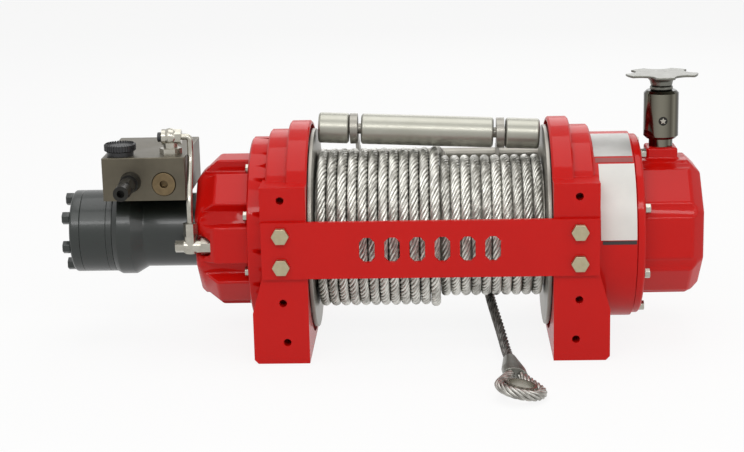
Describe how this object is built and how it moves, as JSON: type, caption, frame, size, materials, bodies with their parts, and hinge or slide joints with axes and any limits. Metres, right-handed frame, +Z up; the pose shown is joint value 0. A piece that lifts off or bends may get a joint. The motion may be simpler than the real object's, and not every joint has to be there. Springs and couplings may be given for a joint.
{
  "type": "hydraulic rope winch",
  "caption": "Hydraulic planetary rope winch on two feet: orbit motor with valve block, rope drum with pressure roller, gear housing with star-knob clutch, wound wire rope with an eye.",
  "frame": {"origin": "on the floor, centre of the four tapped holes under the feet, below the drum axis", "axes": "+X along the drum axis from the motor to the gear housing, -Y towards the front tie plate, +Z up"},
  "size_m": [0.73, 0.4038, 0.3003],
  "materials": {
    "red_paint": "gloss",
    "motor_paint": "satin",
    "block_steel": "satin",
    "black_cap": "satin",
    "black_steel": "satin",
    "bronze": "satin",
    "plated_steel": "satin",
    "bright_chrome": "polished",
    "drum_steel": "satin",
    "roller_steel": "satin",
    "wire_rope": "satin",
    "bare_aluminium": "satin",
    "thimble_steel": "satin"
  },
  "bodies": {
    "frame": {"drum_support_motor_side": "red_paint", "drum_support_gear_side": "red_paint", "front_tie_plate": "red_paint", "brake_housing": "red_paint", "gear_housing": "red_paint", "gear_cover_ring": "red_paint", "gear_cover": "red_paint", "motor_end_cover": "motor_paint", "motor_gerotor_ring": "motor_paint", "motor_spacer": "motor_paint", "motor_housing": "motor_paint", "motor_end_bolts": "motor_paint", "valve_block": "block_steel", "valve_cap": "black_cap", "relief_valve": "black_steel", "elbow_plug": "black_steel", "port_plug": "bronze", "tie_plate_bolts": "plated_steel", "brake_housing_bolts": "plated_steel", "gear_cover_bolts": "plated_steel", "brake_line_tee": "plated_steel", "brake_line_tube": "plated_steel", "clutch_set_screw": "plated_steel", "clutch_barrel": "bright_chrome", "elbow_fitting": "bright_chrome", "roller_pivot_rod": "drum_steel", "rope_tail": "wire_rope", "rope_eye": "wire_rope", "rope_ferrule": "bare_aluminium", "rope_thimble": "thimble_steel"},
    "drum": {"drum": "drum_steel", "wound_rope": "wire_rope"},
    "roller_frame": {"roller_arm_left": "drum_steel", "roller_arm_right": "drum_steel", "roller_shaft": "drum_steel"},
    "roller": {"roller_left_sleeve": "roller_steel", "roller_middle_sleeve": "roller_steel", "roller_right_sleeve": "roller_steel"},
    "clutch_stem": {"clutch_stem": "bare_aluminium"},
    "clutch_knob": {"clutch_knob": "bare_aluminium"}
  },
  "joints": [
    {"name": "drum_spin", "type": "hinge", "parent": "frame", "child": "drum", "pos_m": [0, 0, 0.126], "axis": [1, 0, 0], "continuous": true},
    {"name": "roller_lift", "type": "hinge", "parent": "frame", "child": "roller_frame", "pos_m": [0, 0.113, 0.188], "axis": [-1, 0, 0], "range_deg": [0, 25]},
    {"name": "roller_spin", "type": "hinge", "parent": "roller_frame", "child": "roller", "pos_m": [0.012, 0, 0.23771], "axis": [0.999, 0, -0.0454], "continuous": true},
    {"name": "clutch_lift", "type": "slide", "parent": "frame", "child": "clutch_stem", "axis": [0, 0, 1], "range_m": [0, 0.008]},
    {"name": "clutch_turn", "type": "hinge", "parent": "clutch_stem", "child": "clutch_knob", "pos_m": [0.265, 0, 0.29], "axis": [0, 0, 1], "range_deg": [0, 90]}
  ]
}
